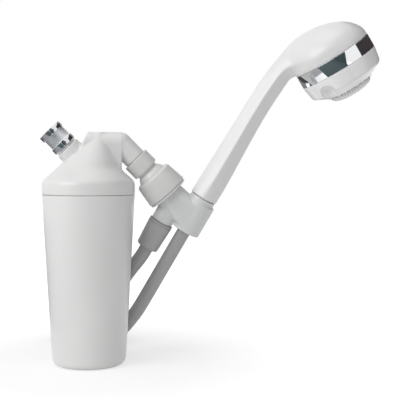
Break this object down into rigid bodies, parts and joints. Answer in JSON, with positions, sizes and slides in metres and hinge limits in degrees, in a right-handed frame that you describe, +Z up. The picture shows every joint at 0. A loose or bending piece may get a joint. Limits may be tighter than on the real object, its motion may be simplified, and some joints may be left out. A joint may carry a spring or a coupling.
{
  "type": "handheld shower head",
  "caption": "Hand shower with a turning spray dial, resting in a ball-jointed cradle on an inline water filter, with its hose tied in a hank behind.",
  "frame": {"origin": "centre of the filter housing's flat base", "axes": "+Z up the filter, +X from the filter towards the cradle and the hand shower, +Y towards the side where the hose lies"},
  "size_m": [0.3594, 0.3073, 0.3711],
  "materials": {
    "housing_white": "gloss",
    "bracket_gray": "semi-gloss",
    "nut_gray": "semi-gloss",
    "hose_nut_gray": "satin",
    "hose_gray": "satin",
    "handset_white": "gloss",
    "chrome": "polished",
    "steel": "satin",
    "seal_rubber": "matte",
    "nozzle_rubber": "matte",
    "clear_plastic": "satin",
    "metal_granules": "granular",
    "carbon_granules": "granular",
    "felt": "matte",
    "tie_black": "matte"
  },
  "bodies": {
    "filter": {"housing": "housing_white", "cap": "housing_white", "housing_seal": "seal_rubber", "cartridge_shell": "clear_plastic", "cartridge_lid": "clear_plastic", "metal_media": "metal_granules", "felt_pads": "felt", "carbon_media": "carbon_granules", "cartridge_gasket": "seal_rubber", "inlet_stem": "clear_plastic", "inlet_washer": "seal_rubber", "inlet_screen": "steel", "ball_stem": "bracket_gray", "outlet_washer": "seal_rubber", "hose_short_run": "hose_gray", "hose_long_run": "hose_gray", "hose_hank": "hose_gray", "hose_tie": "tie_black"},
    "inlet_nut": {"inlet_nut": "chrome"},
    "ball_liner": {"ball_liner": "clear_plastic"},
    "ball_nut": {"ball_nut": "nut_gray"},
    "bracket": {"bracket": "bracket_gray", "ball_seal": "seal_rubber", "bracket_washer": "seal_rubber", "hose_nut": "hose_nut_gray", "hose_barb_bracket": "steel"},
    "hose_end": {"cone_nut": "hose_nut_gray", "hose_barb_handle": "steel", "handle_washer": "seal_rubber"},
    "handset": {"handle_shell": "handset_white", "handle_spigot": "handset_white", "water_tube": "clear_plastic", "manifold": "clear_plastic", "chrome_band": "chrome", "head_seal": "seal_rubber", "spray_housing": "handset_white", "housing_screws": "steel", "nozzle_ring": "nozzle_rubber", "detent_spring": "steel", "detent_ball": "steel"},
    "spray_dial": {"spray_dial": "handset_white", "diverter_disc": "clear_plastic", "dial_screw": "steel"}
  },
  "joints": [
    {"name": "inlet_nut_turn", "type": "hinge", "parent": "filter", "child": "inlet_nut", "pos_m": [0, 0, 0.2124], "axis": [-0.7071, 0, 0.7071], "continuous": true},
    {"name": "ball_tilt", "type": "hinge", "parent": "filter", "child": "ball_liner", "pos_m": [0.07311, 0, 0.20079], "axis": [0, 1, 0], "range_deg": [-15, 3], "deforming": ["hose_short_run", "hose_long_run"]},
    {"name": "ball_swing", "type": "hinge", "parent": "ball_liner", "child": "ball_nut", "pos_m": [0.07311, 0, 0.20079], "axis": [0.749, 0, 0.6626], "range_deg": [-12, 12], "deforming": ["hose_short_run", "hose_long_run"]},
    {"name": "bracket_turn", "type": "hinge", "parent": "ball_nut", "child": "bracket", "pos_m": [0.07311, 0, 0.20079], "axis": [0.6626, 0, -0.749], "range_deg": [-30, 30], "deforming": ["hose_short_run", "hose_long_run"]},
    {"name": "handset_lift", "type": "slide", "parent": "bracket", "child": "hose_end", "axis": [0.4752, -0.1883, 0.8595], "range_m": [0, 0.06], "deforming": ["hose_long_run"]},
    {"name": "handset_turn", "type": "hinge", "parent": "hose_end", "child": "handset", "pos_m": [0.12569, -0.00528, 0.18055], "axis": [0.4752, -0.1883, 0.8595], "continuous": true},
    {"name": "dial_turn", "type": "hinge", "parent": "handset", "child": "spray_dial", "pos_m": [0.25784, -0.04625, 0.33504], "axis": [0.5454, 0.0298, -0.8376], "range_deg": [0, 120]}
  ]
}
